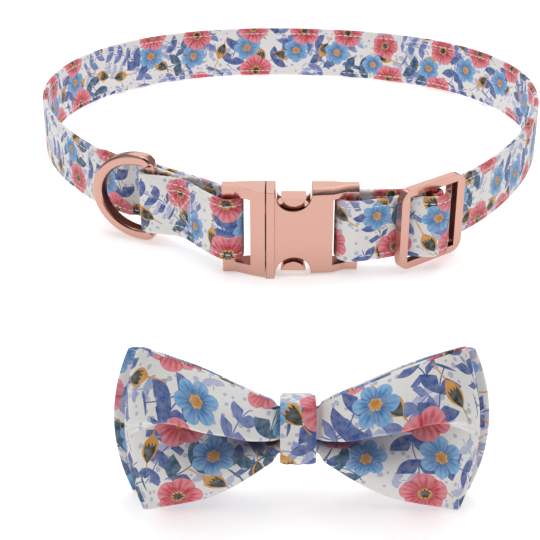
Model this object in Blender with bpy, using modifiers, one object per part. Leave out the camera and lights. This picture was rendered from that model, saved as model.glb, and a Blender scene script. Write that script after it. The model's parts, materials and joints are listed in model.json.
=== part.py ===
"""A pet's bow tie collar: the fastened webbing collar stands on its edge, and its bow tie stands in front."""

import math
from collections import namedtuple

import bmesh
import bpy
import numpy as np
from mathutils import Euler, Vector

mm = 0.001

# Clearances
CLEAR = 0.3 * mm  # between pieces that touch
LAYER_GAP = 0.35 * mm  # between layers of the same cloth

# Strap
LOOP_LENGTH = 690 * mm  # round the middle of the webbing, fastened at its longest
STRAP_WIDTH = 25 * mm
STRAP_THICKNESS = 2.2 * mm
FRONT_LIFT = 6.5 * mm  # the taller metal holds the front of the strap off the floor
FASTENING_ANGLE = math.radians(268.6)  # where the buckle sits on the loop, seen from above
TAIL_LENGTH = 16 * mm  # the end that is sewn between the layers beside the ring
SEWN_DIP = 6.5 * mm  # the sewn layers lie this far inside the smooth loop
SEWN_AT = -46 * mm
SEWN_BEND = 12 * mm  # radius that the outer layer turns where it is sewn down
DIP_BEND = 60 * mm
RISE_BEND = 60 * mm  # the inner layer comes back up to the smooth loop
RISE_AT = -90 * mm
RUN_IN = 40 * mm  # the strap leaves the smooth loop this far from the slide
END_WRAP = math.radians(115)  # the sewn end goes this far round the slide's middle bar
FOLD_SLACK = 0.2 * mm  # how loosely the strap turns round a bar
SOCKET_SLACK = 1.2 * mm  # and how much more loosely round the socket's

# Leash ring
RING_HEIGHT = 36.5 * mm
RING_REACH = 27.5 * mm  # from the back of the bar to the front of the bow
RING_WIRE = 4.2 * mm  # width of its metal, seen from the front
RING_DEPTH = 5.4 * mm
RING_BAR = 3.2 * mm  # depth of the bar, inside the strap's fold
RING_CORNER = 3.5 * mm
RING_CHAMFER = 0.8 * mm
RING_AT = -60.3 * mm  # along the strap from the buckle's middle
RING_SWING = math.radians(18)  # how far it stands off the strap
RING_RIDE = 0.8 * mm  # it rides this high in the strap's fold

# Buckle
BUCKLE_LENGTH = 51.4 * mm
BUCKLE_HEIGHT = 36 * mm
BUCKLE_END_THICKNESS = 4.6 * mm
BUCKLE_BACK = 3.0 * mm  # flat back, from the plane of the bars
BUCKLE_FRONT = 7.2 * mm  # front of the socket beside the rib
RIB_FRONT = 8.0 * mm
RIB_WIDTH = 3.4 * mm
SPLIT_AT = -9.3 * mm  # where the halves meet
BAR_WIDTH = 4.7 * mm
PLUG_SLOT = 5.9 * mm  # the windows that the strap passes
SOCKET_SLOT = 5.0 * mm
SLOT_HEIGHT = 27.4 * mm
NOTCH_AT = 1.2 * mm
NOTCH_RADIUS = 6.8 * mm
NOTCH_DROP = 1.5 * mm  # its centre, inside the buckle's edge
LUG_RADIUS = 4.9 * mm  # the prongs' rounded press ends, in the notches
LUG_RECESS = 2.7 * mm  # from the buckle's edge
LUG_SETBACK = 1 * mm  # from its front
LUG_STEP = 0.8 * mm  # the press ends stand out this far round the prongs
PRONG_RECESS = 6 * mm
PRONG_WIDTH = 4.4 * mm
PRONG_THICKNESS = 5.4 * mm
PRONG_TIP = 2 * mm  # past the press end
POCKET_TIP = 3 * mm
POCKET_PLAY = 1.6 * mm  # above and below the prongs
BUCKLE_CHAMFER = 0.9 * mm
FRONT_CHAMFER = 2 * mm  # along the socket's front, at its top and bottom
BUCKLE_CURVE = 0.8  # below 1 the front swells early from the bar
BUCKLE_OUT = -2.0 * mm  # plane of the bars, from the smooth loop
BUCKLE_TURN = math.radians(6.5)

# Slide
SLIDE_LENGTH = 32 * mm
SLIDE_HEIGHT = 33.5 * mm
SLIDE_THICKNESS = 3 * mm
SLIDE_FRAME = 4 * mm
SLIDE_BAR = 3 * mm
SLIDE_CORNER = 5 * mm
SLIDE_CHAMFER = 0.6 * mm
SLIDE_AT = 53 * mm
SLIDE_TURN = math.radians(6)

# Bow tie
BOW_CLOTH = 1.2 * mm
LEFT_WING = 48.5 * mm
RIGHT_WING = 51 * mm
BOW_HEIGHT = 49 * mm
BOW_BILLOW = 6.5 * mm  # how far the front of a wing stands forward
BOW_BACK_BILLOW = 2.5 * mm
BILLOW_ROUND = 1.0  # share of the bulge that is lost at a wing's edges
WING_SAG = 4.2 * mm  # how far a wing sinks, times its billow and its share of the way to the tip
BACK_OVERHANG = 4.0 * mm  # the back bow is this much longer on each side
BACK_HEIGHT = 44 * mm
BACK_SET = 8 * mm  # depth of the back bow's outer folds
BACK_BILLOW = 5 * mm
KNOT_WIDTH = 10 * mm
KNOT_HEIGHT = 0.388 * BOW_HEIGHT
KNOT_DEPTH = 14 * mm
KNOT_CLOTH = 1.3 * mm
ELASTIC_WIDTH = 9 * mm
ELASTIC_HEIGHT = 11 * mm
ELASTIC_DEPTH = 8.4 * mm
ELASTIC_CLOTH = 1.2 * mm
BOW_LEAN = math.radians(12)
BOW_FORWARD = 254.6 * mm  # from the loop's centre to the bow's foot
BOW_ASIDE = -2.3 * mm

# The loop's shape, as shares of its mean radius
Lobe = namedtuple("Lobe", "order cosine sine")
LOOP_LOBES = [
    Lobe(2, 0.011, -0.020),
    Lobe(3, -0.0085, 0.046),
    Lobe(4, 0.001, 0.0065),
]

# A wing from the knot to its outer fold: reach and height are shares of the wing's length and
# half height, billow of its forward bulge, overlap of how far the pleat folds over itself, stack of
# the height of the folded layers, and rise of how far the pleat lies above the middle
Wing = namedtuple("Wing", "reach height billow overlap stack rise")
WING_ROWS = [
    Wing(0.00, 0.27, 0.00, 1.0, 1.0, 0.0),
    Wing(0.105, 0.27, 0.02, 1.0, 1.0, 0.0),
    Wing(0.15, 0.37, 0.12, 1.0, 1.3, 0.04),
    Wing(0.22, 0.45, 0.28, 0.95, 1.8, 0.12),
    Wing(0.31, 0.55, 0.50, 0.85, 2.3, 0.22),
    Wing(0.43, 0.67, 0.76, 0.65, 2.4, 0.32),
    Wing(0.56, 0.78, 0.95, 0.45, 2.1, 0.38),
    Wing(0.70, 0.86, 1.00, 0.25, 1.6, 0.36),
    Wing(0.84, 0.93, 0.85, 0.10, 1.0, 0.26),
    Wing(0.95, 0.985, 0.50, 0.0, 0.35, 0.10),
    Wing(1.00, 1.00, 0.00, 0.0, 0.0, 0.0),
]
CORNER_DRAW = 0.09  # the wing's corners stop short of its middle by this share

# The pleat across a wing, from its bottom edge up: height is a share of the half height where the
# cloth lies flat, fold is the part of a height that only the overlap gives, and layer counts forward
Pleat = namedtuple("Pleat", "height fold layer")
PLEAT_ROWS = [
    Pleat(-1.00, 0.0, 0.0),
    Pleat(-0.66, 0.0, 0.0),
    Pleat(-0.33, 0.0, 0.0),
    Pleat(-0.08, 0.14, 0.0),
    Pleat(-0.04, 0.16, 0.5),
    Pleat(-0.01, 0.09, 1.0),
    Pleat(0.01, -0.12, 1.0),
    Pleat(0.04, -0.19, 1.5),
    Pleat(0.08, -0.17, 2.0),
    Pleat(0.33, 0.0, 1.8),
    Pleat(0.66, 0.0, 0.9),
    Pleat(1.00, 0.0, 0.1),
]

Post = namedtuple("Post", "along out radius turn")


def material(name, colour, metallic, roughness):
    made = bpy.data.materials.new(name)
    made.use_nodes = True
    shader = made.node_tree.nodes["Principled BSDF"]
    shader.inputs["Base Color"].default_value = (*colour, 1)
    shader.inputs["Metallic"].default_value = metallic
    shader.inputs["Roughness"].default_value = roughness
    return made


def collect(obj, collection, made=None):
    """Puts the object in its collection, with its material."""
    collection.objects.link(obj)
    if made:
        obj.data.materials.clear()
        obj.data.materials.append(made)
    return obj


def cut(obj, cutter, operation="DIFFERENCE"):
    """Cuts the cutter out of the object, or joins it on, with an exact Boolean."""
    cutter.hide_render = True
    cutter.display_type = "WIRE"
    step = obj.modifiers.new(cutter.name, "BOOLEAN")
    step.object = cutter
    step.operation = operation
    step.solver = "EXACT"


def chamfer(obj, width):
    step = obj.modifiers.new("chamfer", "BEVEL")
    step.width = width
    step.segments = 1
    step.limit_method = "ANGLE"
    step.angle_limit = math.radians(30)


def shade(obj):
    obj.data.shade_smooth()
    obj.data.set_sharp_from_angle(angle=math.radians(40))


def extruded(name, outline, thickness, upright=False):
    """A flat outline extruded to both sides. Upright turns the outline's Y into height."""
    curve = bpy.data.curves.new(name, "CURVE")
    curve.dimensions = "2D"
    curve.fill_mode = "BOTH"
    curve.extrude = thickness / 2
    spline = curve.splines.new("POLY")
    spline.points.add(len(outline) - 1)
    for point, (x, y) in zip(spline.points, outline):
        point.co = (x, y, 0, 1)
    spline.use_cyclic_u = True
    flat = bpy.data.objects.new(name, curve)
    bpy.context.scene.collection.objects.link(flat)
    graph = bpy.context.evaluated_depsgraph_get()
    mesh = bpy.data.meshes.new_from_object(flat.evaluated_get(graph))
    bpy.data.objects.remove(flat)
    bpy.data.curves.remove(curve)
    mesh.name = name
    work = bmesh.new()
    work.from_mesh(mesh)
    bmesh.ops.remove_doubles(work, verts=work.verts, dist=0.01 * mm)
    if upright:
        bmesh.ops.rotate(work, verts=work.verts, matrix=Euler((math.pi / 2, 0, 0)).to_matrix())
    bmesh.ops.recalc_face_normals(work, faces=work.faces)
    work.to_mesh(mesh)
    work.free()
    return bpy.data.objects.new(name, mesh)


def block(name, low, high):
    """A box between two corners."""
    mesh = bpy.data.meshes.new(name)
    work = bmesh.new()
    bmesh.ops.create_cube(work, size=1)
    low, high = Vector(low), Vector(high)
    bmesh.ops.scale(work, verts=work.verts, vec=high - low)
    bmesh.ops.translate(work, verts=work.verts, vec=(low + high) / 2)
    work.to_mesh(mesh)
    work.free()
    return bpy.data.objects.new(name, mesh)


def arc(centre, radius, start, end, steps):
    """Points on an arc, with angles in degrees."""
    angles = np.radians(np.linspace(start, end, steps + 1))
    return [(centre[0] + radius * math.cos(a), centre[1] + radius * math.sin(a)) for a in angles]


def cloth(name, sections, thickness, ring=False, tube=False):
    """A wall of even thickness on a surface lofted through sections of as many points each.
    A ring's last section meets its first, and a tube's sections are closed."""
    mesh = bpy.data.meshes.new(name)
    work = bmesh.new()
    rows = [[work.verts.new(point) for point in section] for section in sections]
    for row, after in zip(rows, rows[1:] + rows[:1] if ring else rows[1:]):
        for near in range(len(row) - (0 if tube else 1)):
            far = (near + 1) % len(row)
            work.faces.new((row[near], after[near], after[far], row[far]))
    bmesh.ops.recalc_face_normals(work, faces=work.faces)
    work.to_mesh(mesh)
    work.free()
    obj = bpy.data.objects.new(name, mesh)
    wall = obj.modifiers.new("cloth", "SOLIDIFY")
    wall.thickness = thickness
    wall.offset = 0
    wall.use_even_offset = True
    return obj


# The smooth loop that the strap follows, seen from above, by its length from the buckle's middle


def loop_table():
    angle = np.linspace(FASTENING_ANGLE, FASTENING_ANGLE + 2 * math.pi, 1441)
    radius = 1 + sum(
        lobe.cosine * np.cos(lobe.order * angle) + lobe.sine * np.sin(lobe.order * angle)
        for lobe in LOOP_LOBES
    )
    x, y = radius * np.cos(angle), radius * np.sin(angle)
    along = np.concatenate([[0], np.cumsum(np.hypot(np.diff(x), np.diff(y)))])
    scale = LOOP_LENGTH / along[-1]
    return along * scale, x * scale, y * scale


LOOP_ALONG, LOOP_X, LOOP_Y = loop_table()


def loop_middle(along):
    along = along % LOOP_LENGTH
    return np.array([np.interp(along, LOOP_ALONG, LOOP_X), np.interp(along, LOOP_ALONG, LOOP_Y)])


def loop_heading(along):
    """The direction of travel, to the right at the front."""
    step = loop_middle(along + 1 * mm) - loop_middle(along - 1 * mm)
    return step / np.hypot(*step)


def loop_point(along, out):
    heading = loop_heading(along)
    return loop_middle(along) + out * np.array([heading[1], -heading[0]])


def loop_place(point):
    """How far along the loop and out from it a point lies, for a point near the buckle or slide."""
    away = np.hypot(LOOP_X - point[0], LOOP_Y - point[1])
    along = LOOP_ALONG[int(np.argmin(away))]
    heading = loop_heading(along)
    offset = np.array(point) - loop_middle(along)
    along += offset @ heading
    if along > LOOP_LENGTH / 2:
        along -= LOOP_LENGTH
    return along, offset @ np.array([heading[1], -heading[0]])


def strap_foot(y):
    """Height of the strap's lower edge: on the floor at the back, lifted at the front."""
    return FRONT_LIFT * (LOOP_Y.max() - y) / np.ptp(LOOP_Y)


# Rigid metal pieces, placed on the loop


class Seat:
    """A rigid piece's place on the loop, with its own X axis along the strap."""

    def __init__(self, along, out, turn):
        heading = loop_heading(along)
        self.middle = loop_point(along, out)
        self.angle = math.atan2(heading[1], heading[0]) + turn

    def at(self, x, y=0.0):
        c, s = math.cos(self.angle), math.sin(self.angle)
        return self.middle + np.array([c * x - s * y, s * x + c * y])

    def place(self, obj, height):
        obj.location = (*self.middle, height)
        obj.rotation_euler = (0, 0, self.angle)


STRAP_HALF = STRAP_THICKNESS / 2
LAYER_PITCH = STRAP_THICKNESS + LAYER_GAP
END_AT = BUCKLE_LENGTH / 2
BAR_AT = END_AT - BAR_WIDTH / 2
PRONG_TOP = BUCKLE_HEIGHT / 2 - PRONG_RECESS


def fold(width, thickness, corner):
    """Radius of the strap's middle where it turns round a bar with chamfered corners."""
    return math.hypot(width / 2, thickness / 2 - corner) + FOLD_SLACK + CLEAR + STRAP_HALF


RING_FOLD = fold(RING_WIRE, RING_BAR, RING_CHAMFER)
BAR_FOLD = fold(BAR_WIDTH, BUCKLE_END_THICKNESS, BUCKLE_CHAMFER / 2)
FRAME_FOLD = fold(SLIDE_FRAME, SLIDE_THICKNESS, SLIDE_CHAMFER)
MIDDLE_FOLD = fold(SLIDE_BAR, SLIDE_THICKNESS, SLIDE_CHAMFER)
FRAME_AT = SLIDE_LENGTH / 2 - SLIDE_FRAME / 2

BUCKLE = Seat(0, BUCKLE_OUT, BUCKLE_TURN)
SLIDE = Seat(SLIDE_AT, FRAME_FOLD + FRAME_AT * math.sin(SLIDE_TURN), SLIDE_TURN)
RING_OUT = LAYER_PITCH + RING_FOLD - SEWN_DIP


def strap_posts():
    """What the strap is drawn round, from its tail beside the ring to its end on the slide."""
    left_bar, right_bar = (loop_place(BUCKLE.at(side * BAR_AT)) for side in (-1, 1))
    near_frame, middle, far_frame = (loop_place(SLIDE.at(side * FRAME_AT)) for side in (-1, 0, 1))
    last_along = middle[0] + MIDDLE_FOLD * math.cos(END_WRAP)
    last_out = middle[1] + MIDDLE_FOLD * math.sin(END_WRAP)
    sewn = LAYER_PITCH - SEWN_DIP
    return [
        Post(RING_AT + TAIL_LENGTH, sewn + LAYER_GAP, 0, 0),
        Post(RING_AT, RING_OUT, RING_FOLD, -1),
        Post(SEWN_AT, sewn + LAYER_PITCH + LAYER_GAP + SEWN_BEND, SEWN_BEND, 1),
        Post(*left_bar, BAR_FOLD, -1),
        Post(SEWN_AT, DIP_BEND - SEWN_DIP, DIP_BEND, -1),
        Post(RING_AT, DIP_BEND - SEWN_DIP, DIP_BEND, -1),
        Post(RISE_AT, -RISE_BEND, RISE_BEND, 1),
        Post(far_frame[0] + RUN_IN - LOOP_LENGTH, 0, 0, 0),
        Post(far_frame[0] - LOOP_LENGTH, far_frame[1], FRAME_FOLD, -1),
        Post(middle[0] - LOOP_LENGTH, middle[1], MIDDLE_FOLD + LAYER_PITCH, 1),
        Post(near_frame[0] - LOOP_LENGTH, near_frame[1], FRAME_FOLD, -1),
        Post(right_bar[0] - LOOP_LENGTH, right_bar[1], BAR_FOLD + SOCKET_SLACK, 1),
        Post(middle[0] - LOOP_LENGTH, middle[1], MIDDLE_FOLD, 1),
        Post(last_along - LOOP_LENGTH, last_out, 0, 0),
    ]


def belt(posts, step, arc_step):
    """Points of a belt drawn tight round the posts, as complex numbers: along, and out."""
    centres = [complex(post.along, post.out) for post in posts]
    reach = [post.radius * post.turn for post in posts]
    runs = []
    for i, span in enumerate(np.diff(centres)):
        slip = reach[i + 1] - reach[i]
        run = math.sqrt(max(abs(span) ** 2 - slip**2, 0))
        aside = 1j * span / complex(run, slip)
        runs.append((centres[i] - reach[i] * aside, centres[i + 1] - reach[i + 1] * aside))
    points = [runs[0][0]]
    for i, (leave, arrive) in enumerate(runs):
        count = math.ceil(abs(arrive - leave) / step - 0.001)
        points += [leave + (arrive - leave) * k / count for k in range(1, count + 1)]
        if i + 1 == len(runs) or reach[i + 1] == 0:
            continue
        spoke = arrive - centres[i + 1]
        sweep = np.angle((runs[i + 1][0] - centres[i + 1]) / spoke)
        if sweep * reach[i + 1] < 0 and abs(sweep) > 0.01:
            sweep += math.copysign(2 * math.pi, reach[i + 1])
        count = math.ceil(abs(sweep) * max(1 / arc_step, abs(reach[i + 1]) / step))
        turns = [np.exp(1j * sweep * k / count) for k in range(1, count + 1)]
        points += [centres[i + 1] + spoke * turn for turn in turns]
    return points


def make_strap():
    sections = []
    for point in belt(strap_posts(), 8 * mm, math.radians(22)):
        x, y = loop_point(point.real, point.imag)
        foot = strap_foot(y)
        sections.append([(x, y, foot), (x, y, foot + STRAP_WIDTH)])
    return cloth("strap", sections, STRAP_THICKNESS)


def ring_outline(grow):
    """The ring's D, that much outside the middle of its metal, with its bar along the Z axis."""
    half = (RING_HEIGHT - RING_WIRE) / 2
    depth = RING_REACH - RING_WIRE
    shoulder = 0.2 * depth
    corner = (-RING_CORNER, half - RING_CORNER)
    upper = arc(corner, RING_CORNER + grow, 0, 90, 3)
    bow = [
        (-shoulder - (depth - shoulder + grow) * math.sin(a), (half + grow) * math.cos(a))
        for a in np.linspace(0, math.pi, 21)
    ]
    lower = [(x, -z) for x, z in reversed(upper)]
    return upper + bow + lower


def make_ring(cutters):
    """The leash ring: a flat D, with a slimmer bar on its joint's axis."""
    ring = extruded("d_ring", ring_outline(RING_WIRE / 2), RING_DEPTH, upright=True)
    eye = extruded("eye", ring_outline(-RING_WIRE / 2), 2 * RING_DEPTH, upright=True)
    collect(eye, cutters)
    eye.parent = ring
    cut(ring, eye)
    reach = RING_HEIGHT / 2 - RING_WIRE
    for side, word in ((-1, "front"), (1, "back")):
        faces = sorted((side * RING_BAR / 2, side * RING_DEPTH))
        relief = block(
            "relief_" + word, (-RING_WIRE, faces[0], -reach), (RING_WIRE, faces[1], reach)
        )
        collect(relief, cutters)
        relief.parent = ring
        cut(ring, relief)
    chamfer(ring, RING_CHAMFER)
    heading = loop_heading(RING_AT)
    ring.location = (*loop_point(RING_AT, RING_OUT), RING_HEIGHT / 2 + RING_RIDE)
    ring.rotation_euler = (0, 0, math.atan2(heading[1], heading[0]) + RING_SWING)
    return ring


def buckle_half(name, outline, slot_side, slot_width, cutters):
    """One half of the buckle: a thick plan outline, with a window for the strap."""
    half = extruded(name, outline, BUCKLE_HEIGHT)
    inner = BAR_AT - BAR_WIDTH / 2
    ends = sorted((slot_side * inner, slot_side * (inner - slot_width)))
    depth = RIB_FRONT + BUCKLE_BACK
    slot = block(
        name + "_slot",
        (ends[0], -depth, -SLOT_HEIGHT / 2),
        (ends[1], depth, SLOT_HEIGHT / 2),
    )
    collect(slot, cutters)
    slot.parent = half
    cut(half, slot)
    return half


def buckle_taper(x):
    """How far the buckle's front stands forward of its bars, thickest beside the rib."""
    end = BUCKLE_END_THICKNESS / 2
    inner = END_AT - BAR_WIDTH
    share = max(0, inner - abs(x)) / (inner - abs(SPLIT_AT))
    return -(end + (BUCKLE_FRONT - end) * min(1, share) ** BUCKLE_CURVE)


def slant(name, places, side):
    """A wedge that cuts the broad chamfer along the front's upper or lower edge."""
    edge = BUCKLE_HEIGHT / 2
    mesh = bpy.data.meshes.new(name)
    work = bmesh.new()
    rows = []
    for x in places:
        y = buckle_taper(x)
        corners = ((-1, -2), (2, 1), (-1, 1))
        rows.append([
            work.verts.new((x, y + along * FRONT_CHAMFER, side * (edge + up * FRONT_CHAMFER)))
            for along, up in corners
        ])
    for row, after in zip(rows, rows[1:]):
        for near in range(3):
            far = (near + 1) % 3
            work.faces.new((row[near], after[near], after[far], row[far]))
    work.faces.new(rows[0])
    work.faces.new(rows[-1])
    bmesh.ops.recalc_face_normals(work, faces=work.faces)
    work.to_mesh(mesh)
    work.free()
    return bpy.data.objects.new(name, mesh)


def make_socket(cutters):
    end = BUCKLE_END_THICKNESS / 2
    rib_at = SPLIT_AT + RIB_WIDTH
    inner = BAR_AT - BAR_WIDTH / 2
    outline = [
        (SPLIT_AT + CLEAR / 2, BUCKLE_BACK),
        (SPLIT_AT + CLEAR / 2, -RIB_FRONT),
        (rib_at, -RIB_FRONT),
        (rib_at, buckle_taper(rib_at)),
        (inner - SOCKET_SLOT, buckle_taper(inner - SOCKET_SLOT)),
        (inner, -end),
        (END_AT, -end),
        (END_AT, end),
        (inner, end),
        (inner - SOCKET_SLOT, BUCKLE_BACK),
    ]
    socket = buckle_half("buckle_socket", outline, 1, SOCKET_SLOT, cutters)
    for side, word in ((-1, "lower"), (1, "upper")):
        wedge = slant("slant_" + word, (rib_at, inner - SOCKET_SLOT, inner, END_AT + CLEAR), side)
        collect(wedge, cutters)
        wedge.parent = socket
        cut(socket, wedge)
    notch_mesh = bpy.data.meshes.new("notches")
    work = bmesh.new()
    for side in (-1, 1):
        made = bmesh.ops.create_cone(
            work,
            cap_ends=True,
            segments=32,
            radius1=NOTCH_RADIUS,
            radius2=NOTCH_RADIUS,
            depth=4 * RIB_FRONT,
        )
        turn = Euler((math.pi / 2, 0, 0)).to_matrix()
        bmesh.ops.rotate(work, verts=made["verts"], matrix=turn)
        bmesh.ops.translate(
            work, verts=made["verts"], vec=(NOTCH_AT, 0, side * (BUCKLE_HEIGHT / 2 - NOTCH_DROP))
        )
    work.to_mesh(notch_mesh)
    work.free()
    notches = collect(bpy.data.objects.new("notches", notch_mesh), cutters)
    notches.parent = socket
    cut(socket, notches)
    for side, word in ((-1, "lower"), (1, "upper")):
        edge = BUCKLE_HEIGHT / 2
        ends = sorted((side * (edge - NOTCH_DROP), side * (edge + NOTCH_DROP)))
        mouth = block(
            "mouth_" + word,
            (NOTCH_AT - NOTCH_RADIUS, -2 * RIB_FRONT, ends[0]),
            (NOTCH_AT + NOTCH_RADIUS, 2 * RIB_FRONT, ends[1]),
        )
        collect(mouth, cutters)
        mouth.parent = socket
        cut(socket, mouth)
    front, back = prong_faces()
    room = PRONG_TOP + POCKET_PLAY
    pocket = block(
        "pocket",
        (SPLIT_AT - RIB_WIDTH, front - CLEAR, -room),
        (NOTCH_AT + LUG_RADIUS + POCKET_TIP, back + CLEAR, room),
    )
    collect(pocket, cutters)
    pocket.parent = socket
    cut(socket, pocket)
    chamfer(socket, BUCKLE_CHAMFER)
    return socket


def prong_faces():
    """Front and back of the prongs, in the middle of the socket's thickness."""
    middle = (BUCKLE_BACK - BUCKLE_FRONT) / 2
    return middle - PRONG_THICKNESS / 2, middle + PRONG_THICKNESS / 2


def make_plug(cutters):
    end = BUCKLE_END_THICKNESS / 2
    inner = BAR_AT - BAR_WIDTH / 2
    outline = [
        (-inner, end),
        (-END_AT, end),
        (-END_AT, -end),
        (-inner, -end),
        (-inner + PLUG_SLOT, buckle_taper(inner - PLUG_SLOT)),
        (SPLIT_AT - CLEAR / 2, buckle_taper(SPLIT_AT)),
        (SPLIT_AT - CLEAR / 2, BUCKLE_BACK),
        (-inner + PLUG_SLOT, BUCKLE_BACK),
    ]
    plug = buckle_half("buckle_plug", outline, -1, PLUG_SLOT, cutters)
    front, back = prong_faces()
    root = SPLIT_AT - RIB_WIDTH
    tip = NOTCH_AT + LUG_RADIUS + PRONG_TIP
    lug_top = BUCKLE_HEIGHT / 2 - LUG_RECESS
    centre = BUCKLE_HEIGHT / 2 - NOTCH_DROP
    dip = math.degrees(math.asin((centre - lug_top) / LUG_RADIUS))
    lug = arc((NOTCH_AT, centre), LUG_RADIUS, 180 + dip, 360 - dip, 12)
    lug_front = LUG_SETBACK - BUCKLE_FRONT
    left, right = lug[0][0] + LUG_STEP, lug[-1][0] - LUG_STEP
    prong = [
        (root, PRONG_TOP - PRONG_WIDTH),
        (root, PRONG_TOP),
        (left, PRONG_TOP),
        (left, lug_top - LUG_STEP),
        (right, lug_top - LUG_STEP),
        (right, PRONG_TOP - LUG_STEP),
        (tip, PRONG_TOP - LUG_STEP),
        (tip, PRONG_TOP - PRONG_WIDTH),
    ]
    pieces = (("prong_", prong, front, back), ("press_end_", lug, lug_front, back - LUG_STEP))
    for side, word in ((-1, "lower"), (1, "upper")):
        for name, half, near, far in pieces:
            outline = [(x, side * z) for x, z in half]
            piece = extruded(name + word, outline, far - near, upright=True)
            for vertex in piece.data.vertices:
                vertex.co.y += (near + far) / 2
            collect(piece, cutters)
            piece.parent = plug
            cut(plug, piece, "UNION")
    chamfer(plug, BUCKLE_CHAMFER / 2)
    return plug


def make_slide(cutters):
    half_x, half_z = SLIDE_LENGTH / 2 - SLIDE_CORNER, SLIDE_HEIGHT / 2 - SLIDE_CORNER
    outline = []
    for quarter, (x, z) in enumerate(((1, 1), (-1, 1), (-1, -1), (1, -1))):
        corner = (x * half_x, z * half_z)
        outline += arc(corner, SLIDE_CORNER, 90 * quarter, 90 * quarter + 90, 4)
    slide = extruded("slide", outline, SLIDE_THICKNESS, upright=True)
    depth = SLIDE_THICKNESS
    for side, word in ((-1, "near"), (1, "far")):
        ends = sorted((side * SLIDE_BAR / 2, side * (SLIDE_LENGTH / 2 - SLIDE_FRAME)))
        window = block(
            "window_" + word,
            (ends[0], -depth, -SLOT_HEIGHT / 2),
            (ends[1], depth, SLOT_HEIGHT / 2),
        )
        collect(window, cutters)
        window.parent = slide
        cut(slide, window)
    chamfer(slide, SLIDE_CHAMFER)
    return slide


# The bow tie, in its own frame: X to the right, Y back, Z up from the foot of the front bow


def wing_section(row, reach, half_height, foot, depth, pleats):
    """One section of a wing from its bottom edge up. Depth gives y for a share of height."""
    section = []
    for pleat in PLEAT_ROWS:
        share = pleat.height
        if pleats:
            share += pleat.fold * row.overlap + row.rise * (1 - pleat.height**2)
        x = reach * row.reach * (1 - CORNER_DRAW * (row.reach * share) ** 2)
        y = depth(row, share) - pleats * pleat.layer
        sag = WING_SAG * row.billow * (1 - row.reach)
        section.append((x, y, foot + half_height * (1 + row.height * share) - sag))
    return section


def bow_ring(name, reaches, half_height, foot, front, back, pleat_pitch):
    """A closed band of cloth, pinched at the middle into a left and a right loop."""
    sections = []
    for side, rows in ((-1, WING_ROWS[:0:-1]), (1, WING_ROWS)):
        for row in rows:
            pitch = row.stack * pleat_pitch
            sections.append(wing_section(row, side * reaches[side], half_height, foot, front, pitch))
    for side, rows in ((1, WING_ROWS[-2:0:-1]), (-1, WING_ROWS[:-1])):
        for row in rows:
            sections.append(wing_section(row, side * reaches[side], half_height, foot, back, 0))
    return cloth(name, sections, BOW_CLOTH, ring=True)


def make_bow_front():
    pitch = BOW_CLOTH + CLEAR
    hold = pitch / 2

    def front(row, share):
        return -hold * (row.reach < 1) - BOW_BILLOW * row.billow * (1 - BILLOW_ROUND * share**2)

    def back(row, share):
        return hold + BOW_BACK_BILLOW * row.billow * (1 - BILLOW_ROUND * share**2)

    reaches = {-1: LEFT_WING, 1: RIGHT_WING}
    return bow_ring("bow_front", reaches, BOW_HEIGHT / 2, 0, front, back, pitch)


def make_bow_back():
    pitch = BOW_CLOTH + CLEAR
    near, far = 1.5 * pitch, 2.5 * pitch
    held = WING_ROWS[1].reach

    def spread(row):
        return math.sqrt(max(0, row.reach - held) / (1 - held))

    def front(row, share):
        return near + (BACK_SET - near) * spread(row)

    def back(row, share):
        return far + (BACK_SET - far) * spread(row) + BACK_BILLOW * row.billow

    reaches = {-1: LEFT_WING + BACK_OVERHANG, 1: RIGHT_WING + BACK_OVERHANG}
    foot = BACK_SET * math.tan(BOW_LEAN)
    return bow_ring("bow_back", reaches, BACK_HEIGHT / 2, foot, front, back, 0)


def band(name, height, depth, width, thickness, middle_y, squareness, barrel):
    """A closed band round the bow's middle, squarish in section and fuller at the middle."""
    sections = []
    for share in (-1, -0.6, 0, 0.6, 1):
        swell = 1 - barrel * share**2
        section = []
        for a in np.linspace(0, 2 * math.pi, 24, endpoint=False):
            c, s = math.cos(a), math.sin(a)
            flat = (abs(c) ** squareness + abs(s) ** squareness) ** (-1 / squareness)
            y = middle_y + (depth - thickness) / 2 * flat * c * swell
            z = BOW_HEIGHT / 2 + (height - thickness) / 2 * flat * s * swell
            section.append((share * width / 2, y, z))
        sections.append(section)
    return cloth(name, sections, thickness, tube=True)


def make_knot():
    return band("bow_knot", KNOT_HEIGHT, KNOT_DEPTH, KNOT_WIDTH, KNOT_CLOTH, 0, 4, 0.04)


def make_elastic():
    middle = KNOT_DEPTH / 2 + CLEAR + ELASTIC_DEPTH / 2
    return band(
        "bow_elastic", ELASTIC_HEIGHT, ELASTIC_DEPTH, ELASTIC_WIDTH, ELASTIC_CLOTH, middle, 5, 0
    )


def extent(objects):
    """Lowest and highest corner of the box round some finished objects."""
    bpy.context.view_layer.update()
    graph = bpy.context.evaluated_depsgraph_get()
    corners = []
    for obj in objects:
        if obj.type == "EMPTY":
            continue
        shape = obj.evaluated_get(graph)
        mesh = shape.to_mesh()
        corners += [shape.matrix_world @ vertex.co for vertex in mesh.vertices]
        shape.to_mesh_clear()
    return (
        Vector([min(corner[axis] for corner in corners) for axis in range(3)]),
        Vector([max(corner[axis] for corner in corners) for axis in range(3)]),
    )


def stand_on_floor(collection, bow):
    """Stands the bow on the collar's floor, and makes the middle of the footprint the origin."""
    bow.location.z -= extent(bow.children)[0].z
    low, high = extent(collection.objects)
    shift = Vector((-(low.x + high.x) / 2, -(low.y + high.y) / 2, -low.z))
    for obj in collection.objects:
        if obj.parent is None:
            obj.location += shift


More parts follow.
